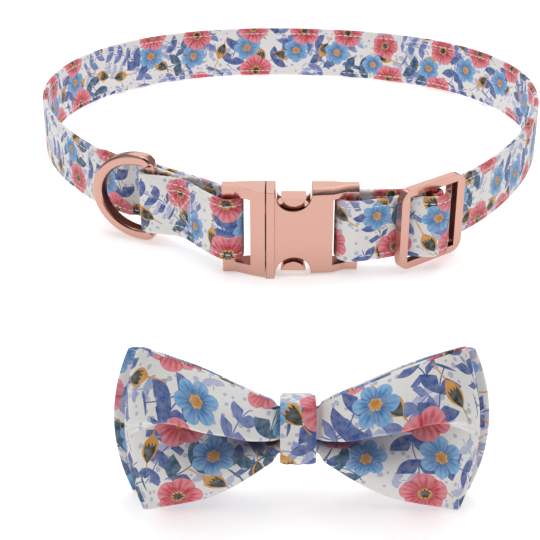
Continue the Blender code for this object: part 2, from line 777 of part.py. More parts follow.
def main():
    for obj in list(bpy.data.objects):
        bpy.data.objects.remove(obj)
    parts = bpy.data.collections.new("pet_bow_tie_collar")
    cutters = bpy.data.collections.new("cutters")
    for collection in (parts, cutters):
        bpy.context.scene.collection.children.link(collection)
    print_cloth = material("printed_cotton", (0.80, 0.74, 0.76), 0.0, 0.85)
    metal = material("rose_gold_plate", (0.83, 0.52, 0.42), 1.0, 0.18)
    elastic = material("white_elastic", (0.85, 0.85, 0.84), 0.0, 0.9)

    collect(make_strap(), parts, print_cloth)
    collect(make_ring(cutters), parts, metal)
    for made in (make_socket(cutters), make_plug(cutters)):
        collect(made, parts, metal)
        BUCKLE.place(made, BUCKLE_HEIGHT / 2)
    slide = collect(make_slide(cutters), parts, metal)
    SLIDE.place(slide, strap_foot(SLIDE.middle[1]) + STRAP_WIDTH / 2)

    bow = bpy.data.objects.new("bow_frame", None)
    parts.objects.link(bow)
    bow.location = (BOW_ASIDE, -BOW_FORWARD, 0)
    bow.rotation_euler = (-BOW_LEAN, 0, 0)
    for made in (make_bow_front(), make_bow_back(), make_knot()):
        collect(made, parts, print_cloth).parent = bow
    collect(make_elastic(), parts, elastic).parent = bow

    for obj in parts.objects:
        if obj.type == "MESH":
            shade(obj)
    stand_on_floor(parts, bow)


main()
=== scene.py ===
# %% [markdown]
# # A pet's bow tie collar
# The real set is a webbing collar in printed cotton with plated metal parts, and a cloth bow tie
# that slides on it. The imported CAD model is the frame: it says where each piece goes. Here the
# metal gets its soft edges and plating, and the cloth gets finer folds, its print and its stitches.

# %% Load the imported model
import json
import math
from collections import namedtuple

import bpy
import numpy as np
from mathutils import Matrix, Vector

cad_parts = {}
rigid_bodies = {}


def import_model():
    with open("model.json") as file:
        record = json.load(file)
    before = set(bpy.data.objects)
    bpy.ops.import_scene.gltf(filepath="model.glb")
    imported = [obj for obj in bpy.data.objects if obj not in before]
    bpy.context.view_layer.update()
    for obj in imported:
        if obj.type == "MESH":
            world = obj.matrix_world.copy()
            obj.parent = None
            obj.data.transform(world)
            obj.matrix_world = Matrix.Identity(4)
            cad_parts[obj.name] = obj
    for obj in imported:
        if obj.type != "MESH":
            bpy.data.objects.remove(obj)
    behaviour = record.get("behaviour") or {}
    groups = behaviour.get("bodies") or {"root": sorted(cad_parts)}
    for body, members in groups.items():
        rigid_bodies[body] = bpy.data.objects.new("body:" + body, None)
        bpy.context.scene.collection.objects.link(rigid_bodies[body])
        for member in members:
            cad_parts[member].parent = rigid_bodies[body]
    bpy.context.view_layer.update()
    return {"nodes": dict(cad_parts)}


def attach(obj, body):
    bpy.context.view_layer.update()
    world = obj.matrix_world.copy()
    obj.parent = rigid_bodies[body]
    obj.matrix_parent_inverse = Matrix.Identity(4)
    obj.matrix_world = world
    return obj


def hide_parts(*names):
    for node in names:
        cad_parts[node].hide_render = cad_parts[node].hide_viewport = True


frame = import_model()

mm = 0.001
nodes = frame["nodes"]

# %% [markdown]
# ## Helpers
# An operator acts on all that is selected, so each step starts with an empty selection. Most cloth
# here is a sheet or a tube whose rows of points follow a rule, so one helper adds Blender's grid,
# lays its points on those rows, closes what should be closed, and keeps a UV map in metres of
# cloth, which lets the print run along the folds.

# %% Selection, grids and finished pieces
def alone(obj):
    """Makes obj the only selected object, and the active one."""
    bpy.ops.object.select_all(action="DESELECT")
    obj.select_set(True)
    bpy.context.view_layer.objects.active = obj
    return obj


def apply_all(obj):
    alone(obj)
    for step in list(obj.modifiers):
        bpy.ops.object.modifier_apply(modifier=step.name)


def laid_grid(name, points, cloth_uv, ends, tuck=None):
    """A grid laid on rows of points, merged where they meet, with its open ends filled or not.
    Its UV map, cloth, holds the place on the flat cloth, and a second one how strongly shade is painted on
    it under a pleat."""
    down, across = points.shape[0] - 1, points.shape[1] - 1
    bpy.ops.object.select_all(action="DESELECT")
    bpy.ops.mesh.primitive_grid_add(x_subdivisions=across, y_subdivisions=down, size=1)
    obj = bpy.context.object
    obj.name = obj.data.name = name
    mesh = obj.data
    place = np.empty(len(mesh.vertices) * 3)
    mesh.vertices.foreach_get("co", place)
    place = place.reshape(-1, 3)
    column = np.rint((place[:, 0] + 0.5) * across).astype(int)
    row = np.rint((place[:, 1] + 0.5) * down).astype(int)
    mesh.vertices.foreach_set("co", points[row, column].ravel())
    corner = np.empty(len(mesh.loops), int)
    mesh.loops.foreach_get("vertex_index", corner)
    layer = mesh.uv_layers[0]
    layer.name = "cloth"
    layer.data.foreach_set("uv", cloth_uv[row[corner], column[corner]].ravel())
    if tuck is not None:
        depth_map = np.zeros((len(corner), 2))
        depth_map[:, 0] = tuck[row[corner], column[corner]]
        mesh.uv_layers.new(name="tuck").data.foreach_set("uv", depth_map.ravel())
    mesh.update()
    alone(obj)
    bpy.ops.object.mode_set(mode="EDIT")
    bpy.ops.mesh.select_all(action="SELECT")
    bpy.ops.mesh.remove_doubles(threshold=0.001 * mm)
    if ends == "filled":
        bpy.ops.mesh.fill_holes(sides=0)
    bpy.ops.mesh.select_all(action="SELECT")
    bpy.ops.mesh.normals_make_consistent(inside=False)
    bpy.ops.object.mode_set(mode="OBJECT")
    return obj


def finished(obj, made, body, node=None, angle=40):
    """Shades a piece, gives it its material, and lets it ride on its body."""
    alone(obj)
    if angle:
        bpy.ops.object.shade_smooth_by_angle(angle=math.radians(angle))
    obj.data.materials.clear()
    obj.data.materials.append(made)
    if node:
        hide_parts(node)
    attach(obj, body)
    print(obj.name, len(obj.data.polygons), "faces")
    return obj


# %% [markdown]
# ## Camera
# The collar's outline in the photograph fixes the view: a longer lens, tilted down by 28.9 degrees
# from about 24 cm above the table.

# %% Camera
IMAGE_WIDTH = 540
FOCAL_PIXELS = 1300
CAMERA_PITCH = math.radians(28.87)
bpy.ops.object.camera_add(
    location=(-9.13 * mm, -471.4 * mm, 241.7 * mm), rotation=(math.pi / 2 - CAMERA_PITCH, 0, 0)
)
camera = bpy.context.object
camera.data.sensor_width = 36
camera.data.lens = FOCAL_PIXELS / IMAGE_WIDTH * 36
camera.data.clip_start = 0.01
bpy.context.scene.camera = camera
print("lens", round(camera.data.lens, 1), "mm")

# %% [markdown]
# ## Colours and nodes
# Colours are written as the hex values that an eye would pick from a swatch, and turned to the
# linear values that Blender works in. One small function adds a node, sets it and links it.

# %% Colour and node helpers
def linear(code):
    """An sRGB hex colour as linear RGBA."""
    values = [int(code[i : i + 2], 16) / 255 for i in (1, 3, 5)]
    return (*[v / 12.92 if v <= 0.04045 else ((v + 0.055) / 1.055) ** 2.4 for v in values], 1)


def node(tree, kind, inputs=(), out=0, **settings):
    """Adds a node. Inputs are values or sockets by index or name, and out picks its output."""
    made = tree.nodes.new("ShaderNode" + kind)
    for name, value in settings.items():
        setattr(made, name, value)
    for key, value in dict(inputs).items():
        if isinstance(value, bpy.types.NodeSocket):
            tree.links.new(value, made.inputs[key])
        else:
            made.inputs[key].default_value = value
    return made.outputs[out]


def new_material(name):
    made = bpy.data.materials.new(name)
    made.use_nodes = True
    return made, made.node_tree, made.node_tree.nodes["Principled BSDF"]


# %% [markdown]
# ## Rose gold plate
# The fittings are zinc alloy castings, polished and plated in rose gold. Plating is a true metal,
# so all its colour is in its reflections: the flat faces mirror the white table, and the narrow
# chamfers mirror the dark room above the camera. Fine polishing marks vary the gloss a little.

# %% Rose gold plate
rose_gold, tree, shader = new_material("rose_gold_plate")
shader.inputs["Base Color"].default_value = linear("#CFA193")
shader.inputs["Metallic"].default_value = 1.0
spot = node(tree, "TexCoord", out="Object")
wear = node(tree, "TexNoise", {"Vector": spot, "Scale": 160.0, "Detail": 4.0})
gloss = node(tree, "MapRange", {"Value": wear, "To Min": 0.15, "To Max": 0.22})
tree.links.new(gloss, shader.inputs["Roughness"])

# The photo shows the windows, the notches, the split and the ring's inner wall in dark maroon. There
# the metal mirrors mostly metal and shade. A darker base colour stands in for that.

# %% Rose gold with painted shade and reflection, for the recesses
gold_with_painted_shade, tree, shader = new_material("rose_gold_plate_with_painted_shade")
shader.inputs["Base Color"].default_value = linear("#7C4438")
shader.inputs["Metallic"].default_value = 1.0
shader.inputs["Roughness"].default_value = 0.3

# %% [markdown]
# ## Printed cotton
# The print is a made-up garden design in coral, periwinkle, teal and mustard on white. Each kind of
# motif has its own invisible cells, from a Voronoi texture: a cell gives the motif its place, turn
# and tone. The motif itself is drawn from its own x and y in millimetres, in a few sums. Motifs
# that would lie on top in a real print are mixed in last.

# %% Motif cells and sums
def cells(tree, place, pitch, shift, jitter):
    """Puts a motif in each cell of that pitch in mm. Returns its x, y, and two random numbers."""
    scaled = node(
        tree,
        "VectorMath",
        {0: place, 1: (1 / pitch, 1 / pitch, 0), 2: (*shift, 0)},
        operation="MULTIPLY_ADD",
    )
    voronoi = node(
        tree,
        "TexVoronoi",
        {"Vector": scaled, "Scale": 1.0, "Randomness": jitter},
        out="Position",
        voronoi_dimensions="2D",
    ).node
    offset = node(
        tree, "VectorMath", {0: scaled, 1: voronoi.outputs["Position"]}, operation="SUBTRACT"
    )
    offset = node(tree, "VectorMath", {0: offset, "Scale": pitch}, operation="SCALE")
    chance = node(tree, "SeparateColor", {0: voronoi.outputs["Color"]}).node.outputs
    turn = node(tree, "Math", {0: chance[0], 1: 2 * math.pi}, operation="MULTIPLY")
    turned = node(tree, "VectorRotate", {"Vector": offset, "Angle": turn})
    x, y, _ = node(tree, "SeparateXYZ", {0: turned}).node.outputs
    return x, y, chance[1], chance[2]


def sums(tree, text, **values):
    """Works out a sum written as words in order, each an operation and one or two operands."""
    last = None
    for step in text.split(";"):
        operation, *operands = step.split()
        sockets = {}
        for i, word in enumerate(operands):
            sockets[i] = last if word == "_" else values[word] if word in values else float(word)
        last = node(tree, "Math", sockets, operation=operation)
    return last


def over(tree, below, mask, colour):
    """Lays a colour over what is below, where the mask is one."""
    return node(tree, "Mix", {0: mask, 6: below, 7: colour}, out=2, data_type="RGBA")


def from_middle(tree, x, y):
    """How far a spot is from its motif's middle, in mm."""
    return sums(tree, "MULTIPLY y y;ADD _ s;SQRT _", y=y, s=sums(tree, "MULTIPLY x x", x=x))


# %% Leaf sprays
def leaf_spray(tree, place, below, pitch, shift, long, leaf, tones, share):
    """A stem with pairs of almond leaves. Long is half its length, and leaf one leaf's, in mm."""
    x, y, first, second = cells(tree, place, pitch, shift, 0.45)
    sway = sums(tree, "MULTIPLY x 0.42;SINE _;MULTIPLY _ 0.55", x=x)
    y = node(tree, "Math", {0: y, 1: sway}, operation="SUBTRACT")
    aside = node(tree, "Math", {0: y}, operation="ABSOLUTE")
    inside = sums(tree, "ABSOLUTE x;LESS_THAN _ long", x=x, long=long)
    stem = sums(tree, "LESS_THAN aside 0.2", aside=aside)
    step = 0.8 * leaf
    far = sums(tree, "ADD x 40", x=x)  # 40 mm keeps it positive, as the remainder needs
    wrapped = sums(tree, "MODULO far step;SUBTRACT _ back", far=far, step=step, back=0.35 * step)
    along = sums(tree, "ADD w a;MULTIPLY _ 0.7071", w=wrapped, a=aside)
    across = sums(tree, "SUBTRACT w a;MULTIPLY _ 0.7071;ABSOLUTE _", w=wrapped, a=aside)
    arch = "DIVIDE a half;SUBTRACT _ 1;POWER _ 2;SUBTRACT 1 _;MULTIPLY _ wide"
    bend = sums(tree, arch, a=along, half=leaf / 2, wide=0.25 * leaf)
    blade = sums(tree, "LESS_THAN a b", a=across, b=bend)
    body = sums(tree, "MAXIMUM a b;MULTIPLY _ c", a=stem, b=blade, c=inside)
    there = sums(tree, "LESS_THAN r share;MULTIPLY _ m", r=second, share=share, m=body)
    tone = node(tree, "ValToRGB", {0: first})
    ramp = tone.node.color_ramp
    ramp.interpolation = "CONSTANT"
    for element, at, code in zip(ramp.elements, (0.0, 0.5), tones[:2]):
        element.position, element.color = at, linear(code)
    rib = sums(tree, "LESS_THAN a 0.14;MULTIPLY _ 0.45;MULTIPLY _ m", a=across, m=blade)
    shaded = over(tree, tone, rib, linear(tones[2]))
    return over(tree, below, there, shaded)


# %% Blossoms
def blossom(tree, place, below, pitch, shift, radius, petals, notch, colours, share):
    """A round flower with that many petals. Colours are its tip, throat, seam, and two for its eye."""
    x, y, first, second = cells(tree, place, pitch, shift, 0.4)
    away = from_middle(tree, x, y)
    angle = node(tree, "Math", {0: y, 1: x}, operation="ARCTAN2")
    petal = sums(tree, "MULTIPLY a half;COSINE _;ABSOLUTE _;POWER _ 0.55", a=angle, half=petals / 2)
    scallop = "MULTIPLY p notch;ADD _ rest;MULTIPLY _ radius"
    edge = sums(tree, scallop, p=petal, notch=notch, rest=1 - notch, radius=radius)
    grown = sums(tree, "MULTIPLY r 0.25;ADD _ 0.85;MULTIPLY _ e", r=first, e=edge)
    reach = sums(tree, "DIVIDE a e", a=away, e=grown)
    there = sums(tree, "LESS_THAN r share", r=second, share=share)
    flower = sums(tree, "LESS_THAN t 1;MULTIPLY _ m", t=reach, m=there)
    # Brush strokes run out from the throat, so the petals' colour follows the angle too.
    stroke = sums(tree, "MULTIPLY a 19;SINE _;MULTIPLY _ 0.13;ADD _ t", a=angle, t=reach)
    tone = node(tree, "ValToRGB", {0: stroke})
    ramp = tone.node.color_ramp
    for element, at, code in zip(ramp.elements, (0.34, 0.92), (colours[1], colours[0])):
        element.position, element.color = at, linear(code)
    middle = ramp.elements.new(0.62)
    middle.color = linear(colours[2])
    seam = sums(tree, "LESS_THAN p 0.42;MULTIPLY _ 0.7", p=petal)
    look = over(tree, tone, seam, linear(colours[1]))
    inner = sums(tree, "LESS_THAN t 0.30", t=reach)
    look = over(tree, look, inner, linear(colours[3]))
    stamens = sums(tree, "MULTIPLY a 9;SINE _;MULTIPLY _ 0.05;ADD _ 0.22", a=angle)
    eye = sums(tree, "LESS_THAN t s", t=reach, s=stamens)
    look = over(tree, look, eye, linear(colours[4]))
    return over(tree, below, flower, look)


# %% Seed heads and pale dots
def seed_head(tree, place, below, pitch, shift, size, colours, share):
    """A pointed bud with a dark calyx, in mm."""
    x, y, _, second = cells(tree, place, pitch, shift, 0.4)
    egg = "DIVIDE x size;ADD _ 0.25;POWER _ 2;SUBTRACT 1 _;MULTIPLY _ wide"
    width = sums(tree, egg, x=x, size=size, wide=0.62 * size)
    aside = node(tree, "Math", {0: y}, operation="ABSOLUTE")
    bud = sums(tree, "LESS_THAN a w", a=aside, w=width)
    inside = sums(tree, "ABSOLUTE x;LESS_THAN _ long", x=x, long=2.1 * size)
    tail = sums(tree, "LESS_THAN a 0.22;MULTIPLY _ m", a=aside, m=inside)
    comb = sums(tree, "MULTIPLY y 5.5;COSINE _;MULTIPLY _ 0.5;ADD _ x", x=x, y=y)
    core = sums(tree, "MULTIPLY w 0.72;GREATER_THAN _ a", w=width, a=aside)
    dark = sums(tree, "LESS_THAN c 0.1;MULTIPLY _ b", c=comb, b=core)
    there = sums(tree, "LESS_THAN r share", r=second, share=share)
    all_over = sums(tree, "MAXIMUM a b;MULTIPLY _ c", a=bud, b=tail, c=there)
    look = over(tree, linear(colours[0]), dark, linear(colours[1]))
    return over(tree, below, all_over, look)


def pale_dots(tree, place, below, pitch, shift, radius, code, share):
    x, y, first, second = cells(tree, place, pitch, shift, 0.8)
    away = from_middle(tree, x, y)
    size = sums(tree, "MULTIPLY r radius;ADD _ 0.35", r=first, radius=radius)
    dot = sums(tree, "LESS_THAN a b", a=away, b=size)
    dot = sums(tree, "LESS_THAN r share;MULTIPLY _ d;MULTIPLY _ 0.75", r=second, share=share, d=dot)
    return over(tree, below, dot, linear(code))


# %% [markdown]
# The threads of the cloth are 0.35 mm apart. Both sets of threads rise and dip in turn, which a
# product of two sine waves gives, and a slow noise varies how much each spot catches the light.

# %% Printed cotton
PALE_LEAVES = ("#B9BFDD", "#9DA8D4", "#D2D5E9")
BLUE_LEAVES = ("#4A61A6", "#6C80BF", "#2C3E7C")
TEAL_LEAVES = ("#1F587C", "#3C5AA0", "#112E44")
BLUE_BLOSSOM = ("#80B8E6", "#3B72AC", "#5A98D0", "#E8A52E", "#C77F22")
CORAL_BLOSSOM = ("#EF8A97", "#BA1D31", "#DE4F61", "#E0A038", "#140E12")


def printed_cotton(name, thread, weave, paints_pleat_shade=False):
    made, tree, shader = new_material(name)
    place = node(tree, "UVMap", uv_map="cloth")
    place = node(tree, "VectorMath", {0: place, "Scale": 1000.0}, operation="SCALE")
    look = linear("#F3F1EE")
    look = pale_dots(tree, place, look, 3.0, (0.3, 0.6), 0.6, "#A9ACCF", 0.55)
    look = leaf_spray(tree, place, look, 16.0, (0.15, 0.35), 7.2, 5.2, PALE_LEAVES, 0.8)
    look = leaf_spray(tree, place, look, 18.5, (0.62, 0.15), 7.4, 7.2, BLUE_LEAVES, 0.85)
    look = leaf_spray(tree, place, look, 25.0, (0.4, 0.8), 8.6, 9.4, TEAL_LEAVES, 0.9)
    look = seed_head(tree, place, look, 18.0, (0.75, 0.55), 4.4, ("#DE9A26", "#1D2B28"), 0.8)
    look = blossom(tree, place, look, 25.0, (0.1, 0.7), 6.6, 6, 0.34, BLUE_BLOSSOM, 0.78)
    look = blossom(tree, place, look, 26.0, (0.55, 0.3), 7.9, 5, 0.2, CORAL_BLOSSOM, 0.78)
    # The colours pool and thin out a little, as they do in a painted design.
    pool = node(tree, "TexNoise", {"Vector": place, "Scale": 0.45, "Detail": 4.0})
    pool = node(tree, "MapRange", {"Value": pool, "From Min": 0.35, "From Max": 0.7, "To Max": 0.22})
    look = over(tree, look, pool, linear("#F3F1EE"))
    if paints_pleat_shade:
        # The glowing table fills the pleat with light, so part of the photo's shade is painted in.
        depth, _, _ = node(tree, "SeparateXYZ", {0: node(tree, "UVMap", uv_map="tuck")}).node.outputs
        shade = over(tree, linear("#FFFFFF"), depth, linear("#55536A"))
        look = node(
            tree, "Mix", {0: 1.0, 6: look, 7: shade}, out=2, data_type="RGBA", blend_type="MULTIPLY"
        )
    tree.links.new(look, shader.inputs["Base Color"])
    x, y, _ = node(tree, "SeparateXYZ", {0: place}).node.outputs
    warp = sums(tree, "MULTIPLY x rate;SINE _", x=x, rate=2 * math.pi / thread)
    weft = sums(tree, "MULTIPLY y rate;SINE _;MULTIPLY _ warp", y=y, rate=2 * math.pi / thread, warp=warp)
    slub = node(tree, "TexNoise", {"Vector": place, "Scale": 0.35, "Detail": 3.0})
    relief = node(tree, "Math", {0: weft, 1: slub}, operation="ADD")
    bump = node(tree, "Bump", {"Strength": weave, "Distance": 0.12 * mm, "Height": relief})
    tree.links.new(bump, shader.inputs["Normal"])
    shader.inputs["Roughness"].default_value = 0.8
    shader.inputs["Specular IOR Level"].default_value = 0.3
    shader.inputs["Sheen Weight"].default_value = 0.15
    return made


strap_cotton = printed_cotton("printed_cotton_on_webbing", 0.7, 0.25)
bow_cotton = printed_cotton("printed_cotton_of_bow", 0.8, 0.4)
# The front bow's cotton has shade painted in under its pleat.
cotton_with_painted_pleat_shade = printed_cotton("printed_cotton_with_painted_pleat_shade", 0.8, 0.4, paints_pleat_shade=True)
print("print nodes", len(bow_cotton.node_tree.nodes))

# %% Thread and elastic
thread_white, tree, shader = new_material("white_polyester_thread")
shader.inputs["Base Color"].default_value = linear("#F4F2F0")
shader.inputs["Roughness"].default_value = 0.55
spot = node(tree, "TexCoord", out="Object")
twist = node(tree, "TexWave", {"Vector": spot, "Scale": 900.0, "Distortion": 1.0})
tree.links.new(
    node(tree, "Bump", {"Strength": 0.3, "Distance": 0.05 * mm, "Height": twist}), shader.inputs["Normal"]
)

elastic_white, tree, shader = new_material("white_knitted_elastic")
shader.inputs["Base Color"].default_value = linear("#ECEAE6")
shader.inputs["Roughness"].default_value = 0.85
place = node(tree, "UVMap", uv_map="cloth")
ribs = node(tree, "TexWave", {"Vector": place, "Scale": 160.0, "Distortion": 0.3})
tree.links.new(
    node(tree, "Bump", {"Strength": 0.5, "Distance": 0.2 * mm, "Height": ribs}), shader.inputs["Normal"]
)

# %% [markdown]
# ## The strap's route
# The strap is one long ribbon. Seen from above it follows a smooth, slightly pear-shaped loop, and
# at the metal it turns round bars as a belt does round pulleys. These are the numbers that the CAD
# model uses. The route is found again here with shorter steps.

# %% The smooth loop
LOOP_CENTRE = np.array([1.054, 78.8]) * mm
LOOP_LENGTH = 690 * mm
FASTENING_ANGLE = math.radians(268.6)
FRONT_LIFT = 6.5 * mm
STRAP_WIDTH = 25 * mm
STRAP_THICKNESS = 2.2 * mm
CLEAR = 0.3 * mm
LAYER_GAP = 0.35 * mm
Lobe = namedtuple("Lobe", "order cosine sine")
LOOP_LOBES = [Lobe(2, 0.011, -0.020), Lobe(3, -0.0085, 0.046), Lobe(4, 0.001, 0.0065)]

turn = np.linspace(FASTENING_ANGLE, FASTENING_ANGLE + 2 * math.pi, 1441)
radius = 1 + sum(
    lobe.cosine * np.cos(lobe.order * turn) + lobe.sine * np.sin(lobe.order * turn) for lobe in LOOP_LOBES
)
LOOP_X, LOOP_Y = radius * np.cos(turn), radius * np.sin(turn)
LOOP_ALONG = np.concatenate([[0], np.cumsum(np.hypot(np.diff(LOOP_X), np.diff(LOOP_Y)))])
scale = LOOP_LENGTH / LOOP_ALONG[-1]
LOOP_ALONG, LOOP_X, LOOP_Y = LOOP_ALONG * scale, LOOP_X * scale, LOOP_Y * scale


def loop_middle(along):
    """The point of the smooth loop at a distance along it from the buckle."""
    along = np.mod(along, LOOP_LENGTH)
    return np.array([np.interp(along, LOOP_ALONG, LOOP_X), np.interp(along, LOOP_ALONG, LOOP_Y)])


def loop_heading(along):
    """The loop's direction there, as a unit vector."""
    step = loop_middle(along + 1 * mm) - loop_middle(along - 1 * mm)
    return step / np.hypot(*step)


def loop_point(along, out):
    """A point that far along the loop and that far outside it."""
    heading = loop_heading(along)
    return loop_middle(along) + out * np.array([heading[1], -heading[0]])


def loop_place(point):
    """How far along the loop and how far outside it a point is."""
    away = np.hypot(LOOP_X - point[0], LOOP_Y - point[1])
    along = LOOP_ALONG[int(np.argmin(away))]
    heading = loop_heading(along)
    offset = np.array(point) - loop_middle(along)
    along += offset @ heading
    if along > LOOP_LENGTH / 2:
        along -= LOOP_LENGTH
    return along, offset @ np.array([heading[1], -heading[0]])


print("loop is", round(np.ptp(LOOP_X) / mm), "by", round(np.ptp(LOOP_Y) / mm), "mm")

# %% Bars that the strap turns round
STRAP_HALF = STRAP_THICKNESS / 2
LAYER_PITCH = STRAP_THICKNESS + LAYER_GAP


def bar_fold(width, thickness, corner):
    """The radius of the strap's middle where it turns round a bar of that section."""
    return math.hypot(width / 2, thickness / 2 - corner) + 0.2 * mm + CLEAR + STRAP_HALF


def seat(along, out, turned):
    """The middle and the angle of a rigid piece on the loop."""
    heading = loop_heading(along)
    return loop_point(along, out), math.atan2(heading[1], heading[0]) + turned


def on_seat(place, x):
    """A point of a seated piece, that far to the right of its middle."""
    middle, angle = place
    return middle + x * np.array([math.cos(angle), math.sin(angle)])


RING_AT = -60.3 * mm  # the ring's bar, along the loop from the buckle
SEWN_AT = -46 * mm  # where the fold round the ring is sewn down
SEWN_DIP = 6.5 * mm  # how far the strap dips inwards there
RING_WIRE, RING_BAR = 4.2 * mm, 3.2 * mm
RING_FOLD = bar_fold(RING_WIRE, RING_BAR, 0.8 * mm)
BAR_FOLD = bar_fold(4.7 * mm, 4.6 * mm, 0.45 * mm)  # the buckle's bars
FRAME_FOLD = bar_fold(4 * mm, 3 * mm, 0.6 * mm)  # the slide's frame
MIDDLE_FOLD = bar_fold(3 * mm, 3 * mm, 0.6 * mm)  # the slide's middle bar
BAR_AT = 23.35 * mm  # the buckle's bars, from its middle
BUCKLE_TURN = math.radians(6.5)
SLIDE_TURN = math.radians(6)
FRAME_AT = 14 * mm
BUCKLE = seat(0, -2 * mm, BUCKLE_TURN)
SLIDE = seat(53 * mm, FRAME_FOLD + FRAME_AT * math.sin(SLIDE_TURN), SLIDE_TURN)
RING_OUT = LAYER_PITCH + RING_FOLD - SEWN_DIP

# The strap goes round each post with a turn of 1 or -1, and to one without a turn.
Post = namedtuple("Post", "along out radius turn")
left_bar, right_bar = (loop_place(on_seat(BUCKLE, side * BAR_AT)) for side in (-1, 1))
near_frame, middle, far_frame = (loop_place(on_seat(SLIDE, side * FRAME_AT)) for side in (-1, 0, 1))
end = math.radians(115)
sewn = LAYER_PITCH - SEWN_DIP
POSTS = [
    Post(RING_AT + 16 * mm, sewn + LAYER_GAP, 0, 0),
    Post(RING_AT, RING_OUT, RING_FOLD, -1),
    Post(SEWN_AT, sewn + LAYER_PITCH + LAYER_GAP + 12 * mm, 12 * mm, 1),
    Post(*left_bar, BAR_FOLD, -1),
    Post(SEWN_AT, 60 * mm - SEWN_DIP, 60 * mm, -1),
    Post(RING_AT, 60 * mm - SEWN_DIP, 60 * mm, -1),
    Post(-90 * mm, -60 * mm, 60 * mm, 1),
    Post(far_frame[0] + 40 * mm - LOOP_LENGTH, 0, 0, 0),
    Post(far_frame[0] - LOOP_LENGTH, far_frame[1], FRAME_FOLD, -1),
    Post(middle[0] - LOOP_LENGTH, middle[1], MIDDLE_FOLD + LAYER_PITCH, 1),
    Post(near_frame[0] - LOOP_LENGTH, near_frame[1], FRAME_FOLD, -1),
    Post(right_bar[0] - LOOP_LENGTH, right_bar[1], BAR_FOLD + 1.2 * mm, 1),
    Post(middle[0] - LOOP_LENGTH, middle[1], MIDDLE_FOLD, 1),
    Post(
        middle[0] + MIDDLE_FOLD * math.cos(end) - LOOP_LENGTH, middle[1] + MIDDLE_FOLD * math.sin(end), 0, 0
    ),
]


# %% Draw the belt tight
def belt(posts, step, arc_step):
    """Points of a belt drawn tight round the posts, as complex numbers: along, and out."""
    centres = [complex(post.along, post.out) for post in posts]
    reach = [post.radius * post.turn for post in posts]
    runs = []
    for i, span in enumerate(np.diff(centres)):
        slip = reach[i + 1] - reach[i]
        run = math.sqrt(max(abs(span) ** 2 - slip**2, 0))
        aside = 1j * span / complex(run, slip)
        runs.append((centres[i] - reach[i] * aside, centres[i + 1] - reach[i + 1] * aside))
    points = [runs[0][0]]
    for i, (leave, arrive) in enumerate(runs):
        count = math.ceil(abs(arrive - leave) / step - 0.001)
        points += [leave + (arrive - leave) * k / count for k in range(1, count + 1)]
        if i + 1 == len(runs) or reach[i + 1] == 0:
            continue
        spoke = arrive - centres[i + 1]
        sweep = np.angle((runs[i + 1][0] - centres[i + 1]) / spoke)
        if sweep * reach[i + 1] < 0 and abs(sweep) > 0.01:
            sweep += math.copysign(2 * math.pi, reach[i + 1])
        count = math.ceil(abs(sweep) * max(1 / arc_step, abs(reach[i + 1]) / step))
        points += [centres[i + 1] + spoke * np.exp(1j * sweep * k / count) for k in range(1, count + 1)]
    return points


route = np.array([loop_point(point.real, point.imag) for point in belt(POSTS, 2.5 * mm, math.radians(10))])
run = np.concatenate([[0], np.cumsum(np.hypot(*np.diff(route, axis=0).T))])
keep = np.concatenate([[True], np.diff(run) > 0.02 * mm])
route, run = route[keep], run[keep]
# Each point's outward normal halves the bend there, so the ribbon keeps an even thickness.
step = np.diff(route, axis=0)
step /= np.hypot(*step.T)[:, None]
before, after = np.vstack([step[:1], step]), np.vstack([step, step[-1:]])
mean = (before + after) / 2
mean /= np.hypot(*mean.T)[:, None]
bend = np.clip((before * after).sum(axis=1), -0.6, 1)
normal = np.column_stack([mean[:, 1], -mean[:, 0]]) / np.sqrt((1 + bend) / 2)[:, None]
foot = FRONT_LIFT * (LOOP_Y.max() - route[:, 1]) / np.ptp(LOOP_Y)
print("strap is", round(run[-1] / mm), "mm long, with", len(route), "rows")

# %% [markdown]
# ## Strap
# Webbing covered in cotton is about 2.2 mm thick, with soft edges, and its two rows of stitching
# pull a shallow groove. The section is drawn once, half a millimetre at a time where it curves,
# and swept along the route. Each face has its own part of the print.

# %% Strap
STITCH_INSET = 2.4 * mm
EDGE_ROUND = 0.8 * mm
half_face = np.array([0.0, 0.25, 0.9, 1.9, 2.4, 2.9, 4.0, 6.5, 9.5, 12.5]) * mm
swell = np.array([0.55, 0.82, 0.98, 0.97, 0.90, 0.97, 1.0, 1.0, 1.0, 1.0])
heights = np.concatenate([half_face, STRAP_WIDTH - half_face[-2::-1]])
depths = STRAP_HALF * np.concatenate([swell, swell[-2::-1]])
section_z = np.concatenate([heights, heights[::-1], heights[:1]])
section_out = np.concatenate([depths, -depths[::-1], depths[:1]])
girth = np.concatenate([heights, 2 * STRAP_WIDTH + 2 * mm - heights[::-1], [2 * STRAP_WIDTH + 2 * mm]])

points = np.empty((len(route), len(section_z), 3))
points[..., :2] = LOOP_CENTRE + route[:, None] + section_out[None, :, None] * normal[:, None]
points[..., 2] = foot[:, None] + section_z[None]
cloth_uv = np.empty((len(route), len(section_z), 2))
cloth_uv[..., 0] = run[:, None]
cloth_uv[..., 1] = girth[None]
strap = laid_grid("strap_cotton", points, cloth_uv, "filled")
finished(strap, strap_cotton, "collar", "strap", angle=60)

# %% [markdown]
# ## Stitches
# The seams are lockstitch in white thread, about 2.6 mm a stitch. One stitch is a small rounded
# bar, modelled once. Its copies are laid end to end along each seam and made one mesh.

# %% One stitch and its seams
STITCH = 2.7 * mm
bpy.ops.object.select_all(action="DESELECT")
bpy.ops.mesh.primitive_uv_sphere_add(segments=6, ring_count=4, radius=0.5)
seed = bpy.context.object
seed_points = np.array([vertex.co[:] for vertex in seed.data.vertices])
seed_points = seed_points[:, [2, 0, 1]] * [0.86 * STITCH, 0.5 * mm, 0.42 * mm]
seed_faces = [list(face.vertices) for face in seed.data.polygons]
bpy.data.objects.remove(seed)


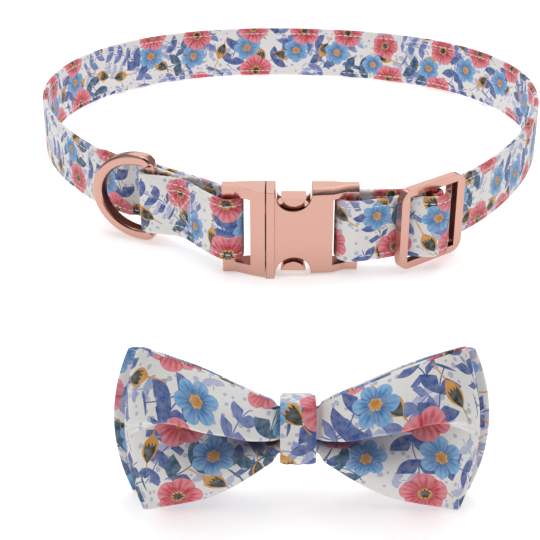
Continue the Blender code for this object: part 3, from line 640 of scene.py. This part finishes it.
def seam(path, out):
    """Lays stitches along a path of points, flat against the face whose outward normals are out."""
    far = np.concatenate([[0], np.cumsum(np.linalg.norm(np.diff(path, axis=0), axis=1))])
    middles = np.arange(STITCH / 2, far[-1], STITCH)
    at = np.column_stack([np.interp(middles, far, path[:, i]) for i in range(3)])
    ahead = np.column_stack([np.interp(middles + STITCH / 3, far, path[:, i]) for i in range(3)])
    behind = np.column_stack([np.interp(middles - STITCH / 3, far, path[:, i]) for i in range(3)])
    face = np.column_stack([np.interp(middles, far, out[:, i]) for i in range(3)])
    along = ahead - behind
    along /= np.linalg.norm(along, axis=1)[:, None]
    aside = np.cross(face, along)
    aside /= np.linalg.norm(aside, axis=1)[:, None]
    up = np.cross(along, aside)
    turned = np.stack([along, aside, up], axis=1)
    points = (at[:, None] + np.einsum("pi,sij->spj", seed_points, turned)).reshape(-1, 3)
    faces = [[i + k * len(seed_points) for i in face] for k in range(len(at)) for face in seed_faces]
    return points, faces


def join_seams(name, seams, made, body):
    """Makes all the seams' stitches one piece."""
    points, faces = [], []
    for more, those in seams:
        start = sum(len(p) for p in points)
        points.append(more)
        faces += [[i + start for i in face] for face in those]
    mesh = bpy.data.meshes.new(name)
    mesh.from_pydata(np.vstack(points).tolist(), [], faces)
    obj = bpy.data.objects.new(name, mesh)
    bpy.context.scene.collection.objects.link(obj)
    alone(obj)
    bpy.ops.object.mode_set(mode="EDIT")
    bpy.ops.mesh.select_all(action="SELECT")
    bpy.ops.mesh.normals_make_consistent(inside=False)
    bpy.ops.object.mode_set(mode="OBJECT")
    return finished(obj, made, body)


def strap_face(rows, height, side):
    """Points and outward normals on the strap's outer or inner face, at a height on it."""
    depth = np.interp(height, heights, depths) * side
    at = np.column_stack([LOOP_CENTRE + route[rows] + depth * normal[rows], foot[rows] + height])
    out = np.column_stack([side * normal[rows], np.zeros(len(at))])
    return at, out


everywhere = np.arange(len(route))
seams = [
    seam(*strap_face(everywhere, height, side))
    for height in (STITCH_INSET, STRAP_WIDTH - STITCH_INSET)
    for side in (-1, 1)
]

# %% The crossed box beside the ring
# Where the fold round the ring is sewn down, a box with a cross holds all the layers.
BOX_START, BOX_END = -52 * mm, -39 * mm
BOX_LOW, BOX_HIGH = 5 * mm, 20 * mm
places = np.array([loop_place(point) for point in route[run < 60 * mm]])
front_layer = np.nonzero((places[:, 0] > RING_AT) & (places[:, 1] > sewn + 0.5 * LAYER_PITCH))[0]
front_layer = front_layer[np.argsort(places[front_layer, 0])]
layer_at, layer_out = strap_face(front_layer, 0.0, 1)


def on_layer(along, height):
    """A point and the outward normal on the front layer beside the ring."""
    at = [np.interp(along, places[front_layer, 0], layer_at[:, i]) for i in range(3)]
    depth = STRAP_HALF * 0.45
    out = np.array([np.interp(along, places[front_layer, 0], layer_out[:, i]) for i in range(3)])
    return np.array(at) + out * depth + [0, 0, height], out


corners = [(BOX_START, BOX_LOW), (BOX_END, BOX_LOW), (BOX_END, BOX_HIGH), (BOX_START, BOX_HIGH)]
for a, b in ((0, 1), (1, 2), (2, 3), (3, 0), (0, 2), (1, 3)):
    ends = np.array(corners[a]), np.array(corners[b])
    track = [on_layer(*(ends[0] * (1 - t) + ends[1] * t)) for t in np.linspace(0, 1, 12)]
    seams.append(seam(np.array([p for p, _ in track]), np.array([n for _, n in track])))
join_seams("strap_stitches", seams, thread_white, "collar")

# %% [markdown]
# ## Buckle and slide
# Their CAD solids have the right shape, but their edges are perfectly sharp. Casting and polishing
# leave an edge round by a fifth of a millimetre, and that thin curve is what catches a highlight.
# A copy of each is merged, its flat faces are made whole, and its edges are bevelled.

# %% Soft edges on the castings
SPLIT = -9.45 * mm  # the plug's face at the split


def eased(name, node_name, width, body, recess):
    """A copy of a casting with soft edges. Recess picks the faces that get a darker base colour: painted
    shade and reflection.
    """
    alone(nodes[node_name])
    bpy.ops.object.duplicate()
    obj = bpy.context.object
    bpy.ops.object.parent_clear(type="CLEAR_KEEP_TRANSFORM")
    obj.name = obj.data.name = name
    for key in list(obj.keys()):
        del obj[key]
    bpy.ops.object.mode_set(mode="EDIT")
    bpy.ops.mesh.select_all(action="SELECT")
    bpy.ops.mesh.remove_doubles(threshold=0.001 * mm)
    bpy.ops.mesh.dissolve_limited(angle_limit=math.radians(1))
    bpy.ops.object.mode_set(mode="OBJECT")
    middle, angle = PLACES[node_name]
    to_local = Matrix.Rotation(-angle, 4, "Z") @ Matrix.Translation(-middle)
    if node_name == "buckle_plug":
        # The halves nearly meet at the back, so that the split is a dark groove and hides the table.
        for vertex in obj.data.vertices:
            at = to_local @ vertex.co
            if abs(at.x - SPLIT) < 0.05 * mm:
                closer = 0.25 * mm if at.y > 0 else -0.15 * mm
                vertex.co += Matrix.Rotation(angle, 3, "Z") @ Vector((closer, 0, 0))
    obj.data.materials.clear()
    for made in (rose_gold, gold_with_painted_shade):
        obj.data.materials.append(made)
    # Faces that the test picks get the second material, whose darker base colour is painted shade and
    # reflection.
    for face in obj.data.polygons:
        at = to_local @ face.center
        face.material_index = int(recess(at, to_local.to_3x3() @ face.normal))
    bpy.ops.object.shade_smooth_by_angle(angle=math.radians(25))
    round_off = obj.modifiers.new("soft edges", "BEVEL")
    round_off.width = width
    round_off.segments = 3
    round_off.limit_method = "ANGLE"
    round_off.angle_limit = math.radians(25)
    flat_faces = obj.modifiers.new("flat faces", "WEIGHTED_NORMAL")
    flat_faces.weight = 100
    apply_all(obj)
    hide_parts(node_name)
    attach(obj, body)
    recessed = sum(face.material_index for face in obj.data.polygons)
    print(name, len(obj.data.polygons), "faces,", recessed, "in recesses")


def in_buckle(at, facing):
    """In a window, at the split, or at the back of a notch, where shade is painted in."""
    window = abs(at.z) < 13.9 * mm and 10 * mm < abs(at.x) < 24 * mm and abs(facing.y) < 0.6
    notch = abs(at.x - 1.2 * mm) < 7 * mm and abs(at.z) > 8 * mm and -6 * mm < at.y
    split = abs(at.x - SPLIT) < 0.5 * mm and abs(facing.x) > 0.7
    return window or split or notch and facing.y < -0.3


def in_slide(at, facing):
    """On the inner walls of the slide, where shade is painted in."""
    return abs(at.z) < 13.8 * mm and abs(at.x) < 12.2 * mm and abs(facing.y) < 0.6


buckle_place = Vector((*(LOOP_CENTRE + BUCKLE[0]), 18 * mm)), BUCKLE[1]
slide_place = Vector((*(LOOP_CENTRE + SLIDE[0]), 18.8 * mm)), SLIDE[1]
PLACES = {"buckle_plug": buckle_place, "buckle_socket": buckle_place, "slide": slide_place}
for casting in PLACES:
    recess = in_slide if casting == "slide" else in_buckle
    eased(casting + "_plated", casting, 0.22 * mm, "collar", recess)

# %% [markdown]
# ## Leash ring
# The ring is a flattened bar with broad chamfers, bent to a D. Its section is swept round the D.

# %% Leash ring
RING_HEIGHT, RING_REACH, RING_CORNER, RING_DEPTH = 36.5 * mm, 27.5 * mm, 3.5 * mm, 5.4 * mm
RING_RIDE, RING_SWING = 0.8 * mm, math.radians(18)
half, depth = (RING_HEIGHT - RING_WIRE) / 2, RING_REACH - RING_WIRE
shoulder = 0.2 * depth
corner = np.radians(np.linspace(0, 90, 9))
upper = RING_CORNER * np.column_stack([np.cos(corner) - 1, np.sin(corner) - 1]) + [0, half]
sweep = np.linspace(0, math.pi, 65)
bow = np.column_stack([-shoulder - (depth - shoulder) * np.sin(sweep), half * np.cos(sweep)])
path = np.vstack([upper, bow, upper[::-1] * [1, -1]])
path = np.vstack([path, path[:1]])
gap = np.roll(path[:-1], -1, axis=0) - np.roll(path[:-1], 1, axis=0)
gap /= np.linalg.norm(gap, axis=1)[:, None]
outward = np.column_stack([gap[:, 1], -gap[:, 0]])
outward = np.vstack([outward, outward[:1]])
# The section: a bar 4.2 mm wide and 5.4 mm deep, with flat faces and chamfers a little round.
flat = [(2.1, 1.8), (2.07, 1.95), (1.98, 2.08), (1.48, 2.58), (1.35, 2.67), (1.2, 2.7)]
quarter = np.array(flat) * mm
section = np.vstack([quarter, quarter[::-1] * [-1, 1], -quarter, quarter[::-1] * [1, -1]])
section = np.vstack([section, section[:1]])
local = np.zeros((len(path), len(section), 3))
local[..., 0] = path[:, None, 0] + outward[:, None, 0] * section[None, :, 0]
local[..., 2] = path[:, None, 1] + outward[:, None, 1] * section[None, :, 0]
# The bar is slimmer, 3.2 mm deep, where the strap turns round it.
slim = np.abs(path[:, 1]) < RING_HEIGHT / 2 - RING_WIRE
slim &= path[:, 0] > -RING_CORNER
local[..., 1] = section[None, :, 1] * np.where(slim, RING_BAR / RING_DEPTH, 1)[:, None]
heading = loop_heading(RING_AT)
swing = math.atan2(heading[1], heading[0]) + RING_SWING
spin = np.array([[math.cos(swing), -math.sin(swing), 0], [math.sin(swing), math.cos(swing), 0], [0, 0, 1]])
world = local @ spin.T + [*(LOOP_CENTRE + loop_point(RING_AT, RING_OUT)), RING_HEIGHT / 2 + RING_RIDE]
ring = laid_grid("d_ring_plated", world, np.zeros((*world.shape[:2], 2)), "filled")
finished(ring, rose_gold, "leash_ring", "d_ring", angle=50)
ring.data.materials.append(gold_with_painted_shade)
eye = Vector((*(LOOP_CENTRE + loop_point(RING_AT, RING_OUT)), RING_HEIGHT / 2 + RING_RIDE))
eye += Matrix.Rotation(swing, 3, "Z") @ Vector((-0.45 * RING_REACH, 0, 0))
# The ring's inner wall gets the darker base colour too: painted shade and reflection.
for face in ring.data.polygons:
    if face.normal.dot((face.center - eye).normalized()) < -0.55:
        face.material_index = 1  # the inner wall of the ring

# %% [markdown]
# ## Bow tie
# Each bow is a band of cotton on a stiff lining, folded to a ring and pinched in its middle. The
# front of each wing billows, and a pleat runs out from the knot. The rows of the CAD model's table
# are joined here by smooth curves, with the pleat drawn a little higher near the knot, and soft
# creases fan out from it.

# %% Wing tables
BOW_PLACE = Vector((-1.246 * mm, -175.801 * mm, 0.48 * mm))
BOW_LEAN = math.radians(12)
LEFT_WING, RIGHT_WING = 48.5 * mm, 51 * mm
BOW_HEIGHT, BOW_BILLOW, BOW_BACK_BILLOW, BILLOW_ROUND = 49 * mm, 6.5 * mm, 2.5 * mm, 1.0
BACK_OVERHANG, BACK_HEIGHT, BACK_SET, BACK_BILLOW = 4.0 * mm, 44 * mm, 8 * mm, 5 * mm
LAYER, WING_SAG = 1.5 * mm, 4.2 * mm
CORNER_DRAW = 0.09  # how far a wing's corners draw in, as a share of its reach
KNOT_EDGE = 0.105  # where the knot's edge crosses a wing, as a share of its reach
Wing = namedtuple("Wing", "reach height billow overlap stack rise")
REACH, HEIGHT, BILLOW, OVERLAP, STACK, RISE = range(6)
WING_ROWS = np.array(
    [
        Wing(0.00, 0.27, 0.00, 1.0, 1.0, 0.0),
        Wing(0.105, 0.27, 0.02, 1.0, 1.0, 0.0),
        Wing(0.15, 0.37, 0.12, 1.0, 1.3, 0.09),
        Wing(0.22, 0.45, 0.28, 0.95, 1.8, 0.22),
        Wing(0.31, 0.55, 0.50, 0.85, 2.3, 0.33),
        Wing(0.43, 0.67, 0.76, 0.65, 2.4, 0.40),
        Wing(0.56, 0.78, 0.95, 0.45, 2.1, 0.38),
        Wing(0.70, 0.86, 1.00, 0.25, 1.6, 0.36),
        Wing(0.84, 0.93, 0.85, 0.10, 1.0, 0.26),
        Wing(0.95, 0.985, 0.50, 0.0, 0.35, 0.10),
        Wing(1.00, 1.00, 0.00, 0.0, 0.0, 0.0),
    ]
)
Pleat = namedtuple("Pleat", "height fold layer")
UP, FOLD, FORWARD = range(3)
PLEAT_ROWS = np.array(
    [
        Pleat(-1.00, 0.0, 0.0),
        Pleat(-0.66, 0.0, 0.0),
        Pleat(-0.33, 0.0, 0.0),
        Pleat(-0.08, 0.14, 0.0),
        Pleat(-0.04, 0.16, 0.5),
        Pleat(-0.01, 0.09, 1.0),
        Pleat(0.01, -0.12, 1.0),
        Pleat(0.04, -0.19, 1.5),
        Pleat(0.08, -0.17, 2.0),
        Pleat(0.33, 0.0, 1.8),
        Pleat(0.66, 0.0, 0.9),
        Pleat(1.00, 0.0, 0.1),
    ]
)


def smooth_rows(table, per_row):
    """More rows between those of a table, on a curve that doesn't overshoot."""
    key = np.arange(len(table))
    fine = np.linspace(0, len(table) - 1, (len(table) - 1) * per_row + 1)
    rise = np.diff(table, axis=0)
    slope = np.zeros_like(table)
    same = rise[1:] * rise[:-1] > 0
    slope[1:-1] = np.where(same, 2 * rise[1:] * rise[:-1] / np.where(same, rise[1:] + rise[:-1], 1), 0)
    slope[0], slope[-1] = rise[0], rise[-1]
    low = np.minimum(fine.astype(int), len(table) - 2)
    t = (fine - low)[:, None]
    return (
        (2 * t**3 - 3 * t**2 + 1) * table[low]
        + (t**3 - 2 * t**2 + t) * slope[low]
        + (3 * t**2 - 2 * t**3) * table[low + 1]
        + (t**3 - t**2) * slope[low + 1]
    )


wing, pleat = smooth_rows(WING_ROWS, 6), smooth_rows(PLEAT_ROWS, 4)
print("wing rows", len(wing), "pleat rows", len(pleat))


# %% Bows
def creases(x, z, depth):
    """Soft creases that fan out from the knot, in metres forward."""
    fan = np.arctan2(z, np.abs(x) + 6 * mm)
    near = np.clip(np.abs(x) / (9 * mm) - 0.6, 0, 1) * np.exp(-np.abs(x) / (24 * mm))
    return depth * near * (np.sin(13 * fan + 0.7 * np.sign(x)) + 0.6 * np.sin(29 * fan + 1.3))


def wing_panel(wing, pleat, reach, half_height, foot, depth, pitch, crease):
    """One panel of a wing, with one row of points for each row of the wing's table."""
    share = np.repeat(pleat[None, :, UP], len(wing), 0)
    if pitch:
        share = share + pleat[None, :, FOLD] * wing[:, OVERLAP, None] + wing[:, RISE, None] * (1 - share**2)
    x = reach * wing[:, REACH, None] * (1 - CORNER_DRAW * (wing[:, REACH, None] * share) ** 2)
    z = half_height * wing[:, HEIGHT, None] * share
    z = z - WING_SAG * wing[:, BILLOW, None] * (1 - wing[:, REACH, None])
    y = depth(wing, share) - pitch * wing[:, STACK, None] * pleat[None, :, FORWARD]
    y = y - creases(x, z, crease)
    return np.stack([x, y, foot + half_height + z], axis=-1)


def bow_band(reaches, half_height, foot, front, back, pitch, crease):
    """A whole bow: the front of both wings, then their backs, joined to a ring."""
    left, right = wing[:0:-1], wing
    panels = [
        wing_panel(left, pleat, -reaches[0], half_height, foot, front, pitch, crease),
        wing_panel(right, pleat, reaches[1], half_height, foot, front, pitch, crease),
        wing_panel(wing[-2:0:-1], pleat, reaches[1], half_height, foot, back, 0, 0),
        wing_panel(wing[:-1], pleat, -reaches[0], half_height, foot, back, 0, 0),
    ]
    points = np.vstack(panels)
    points = np.vstack([points, points[:1]])
    # The cloth is measured from its middle: along the band, and up and down from the pleat.
    climb = np.linalg.norm(np.diff(points, axis=1), axis=2)
    up = np.concatenate([np.zeros((len(points), 1)), np.cumsum(climb, axis=1)], axis=1)
    up -= up[:, [np.argmin(np.abs(pleat[:, UP]))]]
    ahead = np.linalg.norm(np.diff(points[:, len(pleat) // 2], axis=0), axis=1)
    along = np.concatenate([[0], np.cumsum(ahead)])
    cloth_uv = np.stack([np.repeat(along[:, None], points.shape[1], 1), up], axis=-1)
    return points, cloth_uv


def painted_pleat_shade_strength():
    """How much shade is painted on each point of the front bow, from 0 to 1: most just under the pleat near
    the knot.
    """
    rows = np.vstack([wing[:0:-1], wing, wing[-2:0:-1], wing[:-1]])
    rows = np.vstack([rows, rows[:1]])
    share = pleat[None, :, UP] + pleat[None, :, FOLD] * rows[:, OVERLAP, None]
    under = np.clip((share + 0.92) / 0.5, 0, 1) ** 1.6 * (pleat[None, :, UP] < 0)
    near = np.clip((0.9 - rows[:, REACH, None]) / 0.6, 0, 1)
    return under * near


def in_place(obj):
    """Leans the bow back on its lower corners and puts it in front of the collar."""
    obj.data.transform(Matrix.Translation(BOW_PLACE) @ Matrix.Rotation(-BOW_LEAN, 4, "X"))
    return obj


def cloth_wall(obj, thickness):
    """Gives a sheet its thickness, with rolled edges."""
    wall = obj.modifiers.new("cloth", "SOLIDIFY")
    wall.thickness = thickness
    wall.offset = 0
    soften = obj.modifiers.new("rolled edge", "BEVEL")
    soften.width = 0.3 * thickness
    soften.segments = 2
    soften.limit_method = "ANGLE"
    soften.angle_limit = math.radians(60)
    apply_all(obj)
    return obj


hold = LAYER / 2


# How far back each panel lies, for rows of the wing's table and shares of its height
def front_of_front(rows, share):
    swell = BOW_BILLOW * rows[:, BILLOW, None] * (1 - BILLOW_ROUND * share**2)
    return -hold * (rows[:, REACH, None] < 0.999) - swell


def back_of_front(rows, share):
    return hold + BOW_BACK_BILLOW * rows[:, BILLOW, None] * (1 - BILLOW_ROUND * share**2)


def spread(rows):
    """How far the back bow has drawn away from the front one, from 0 at the knot to 1."""
    return np.sqrt(np.clip(rows[:, REACH, None] - KNOT_EDGE, 0, 1) / (1 - KNOT_EDGE))


def front_of_back(rows, share):
    return 1.5 * LAYER + (BACK_SET - 1.5 * LAYER) * spread(rows) + 0 * share


def back_of_back(rows, share):
    swell = BACK_BILLOW * rows[:, BILLOW, None]
    return 2.5 * LAYER + (BACK_SET - 2.5 * LAYER) * spread(rows) + swell + 0 * share


points, cloth_uv = bow_band(
    (LEFT_WING, RIGHT_WING), BOW_HEIGHT / 2, 0, front_of_front, back_of_front, LAYER, 0.35 * mm
)
cloth_uv += 52 * mm  # each piece is cut from another part of the printed cloth
# Its tuck map says how much shade is painted on each point under the pleat.
bow_front = laid_grid("bow_front_cotton", points, cloth_uv, "open", painted_pleat_shade_strength())
bow_front = in_place(cloth_wall(bow_front, 1.1 * mm))
finished(bow_front, cotton_with_painted_pleat_shade, "collar", "bow_front", angle=60)

points, cloth_uv = bow_band(
    (LEFT_WING + BACK_OVERHANG, RIGHT_WING + BACK_OVERHANG),
    BACK_HEIGHT / 2,
    BACK_SET * math.tan(BOW_LEAN),
    front_of_back,
    back_of_back,
    0,
    0,
)
cloth_uv[..., 1] += 90 * mm
bow_back = in_place(cloth_wall(laid_grid("bow_back_cotton", points, cloth_uv, "open"), 1.1 * mm))
finished(bow_back, bow_cotton, "collar", "bow_back", angle=60)


# %% [markdown]
# ## Knot and elastic
# A narrow band of the same cotton is drawn tight round both bows, and swells a little between its
# edges. A short loop of white elastic behind it takes the strap.

# %% Knot and elastic
def band(height, depth, width, thickness, middle_y, squareness, barrel, across):
    """A closed band round the middle of the bow, swollen between its edges by barrel."""
    share = np.linspace(-1, 1, across)[:, None]
    angle = np.linspace(0, 2 * math.pi, 73)[None]
    c, s = np.cos(angle), np.sin(angle)
    flat = (np.abs(c) ** squareness + np.abs(s) ** squareness) ** (-1 / squareness)
    swell = 1 - barrel * share**2
    y = middle_y + (depth - thickness) / 2 * flat * c * swell
    z = BOW_HEIGHT / 2 + (height - thickness) / 2 * flat * s * swell
    x = np.broadcast_to(share * width / 2, y.shape)
    points = np.stack([x, y, z], axis=-1)
    round_it = np.linalg.norm(np.diff(points[across // 2], axis=0), axis=1)
    cloth_uv = np.empty((across, 73, 2))
    cloth_uv[..., 0] = share * width / 2
    cloth_uv[..., 1] = np.concatenate([[0], np.cumsum(round_it)])[None]
    return points, cloth_uv


points, cloth_uv = band(19 * mm, 14 * mm, 10 * mm, 1.3 * mm, 0, 4, 0.04, 17)
# Two soft tucks run round the knot's band.
tuck = 0.25 * mm * np.cos(2 * math.pi * np.linspace(-1, 1, 17) * 1.5)
points[..., 1] -= tuck[:, None] * (points[..., 1] < 0)
cloth_uv += 190 * mm
bow_knot = laid_grid("bow_knot_cotton", points, cloth_uv, "open")
bow_knot = in_place(cloth_wall(bow_knot, 1.2 * mm))
finished(bow_knot, bow_cotton, "collar", "bow_knot", angle=60)

points, cloth_uv = band(11 * mm, 8.4 * mm, 9 * mm, 1.2 * mm, 11.5 * mm, 5, 0, 9)
bow_elastic = laid_grid("bow_elastic_loop", points, cloth_uv, "open")
bow_elastic = in_place(cloth_wall(bow_elastic, 1.2 * mm))
finished(bow_elastic, elastic_white, "collar", "bow_elastic", angle=60)

# %% [markdown]
# ## Table and light
# The set stands on a seamless white table that glows faintly from below, under a wide soft light.
# The plated top faces mirror a softbox at the back. The room behind and above the camera is dark:
# a dark card there gives the plated chamfers their thin dark lines.

# %% Table and light
bpy.ops.object.select_all(action="DESELECT")
bpy.ops.mesh.primitive_plane_add(size=6, location=(0, 0, 0))
table = bpy.context.object
table.name = "table"
white, tree, shader = new_material("white_table")
shader.inputs["Base Color"].default_value = linear("#F8F8F8")
shader.inputs["Roughness"].default_value = 0.9
shader.inputs["Emission Color"].default_value = (1, 1, 1, 1)
shader.inputs["Emission Strength"].default_value = 0.45
table.data.materials.append(white)

bpy.ops.mesh.primitive_plane_add(size=1, location=(0, -0.68, 1.1), rotation=(math.radians(60), 0, 0))
card = bpy.context.object
card.name = "dark_card"
card.scale = (1.8, 0.9, 1)
dark, tree, shader = new_material("black_card")
shader.inputs["Base Color"].default_value = linear("#120C0C")
shader.inputs["Roughness"].default_value = 0.9
card.data.materials.append(dark)

world = bpy.data.worlds.new("studio")
bpy.context.scene.world = world
world.use_nodes = True
world.node_tree.nodes["Background"].inputs["Color"].default_value = (1, 1, 1, 1)
world.node_tree.nodes["Background"].inputs["Strength"].default_value = 0.3
for name, place, turned, size, power in (
    ("overhead", (0.1, 0.25, 1.3), (0, 0, 0), 1.6, 14.5),
    ("left_fill", (-1.3, -0.6, 0.7), (math.radians(60), 0, math.radians(-60)), 1.0, 1.5),
    ("back_softbox", (0, 1.5, 0.85), (math.radians(-60), 0, 0), 1.0, 3),
):
    bpy.ops.object.light_add(type="AREA", location=place, rotation=turned)
    light = bpy.context.object
    light.name = name
    light.data.size = size
    light.data.energy = power
bpy.context.scene.view_settings.view_transform = "Standard"
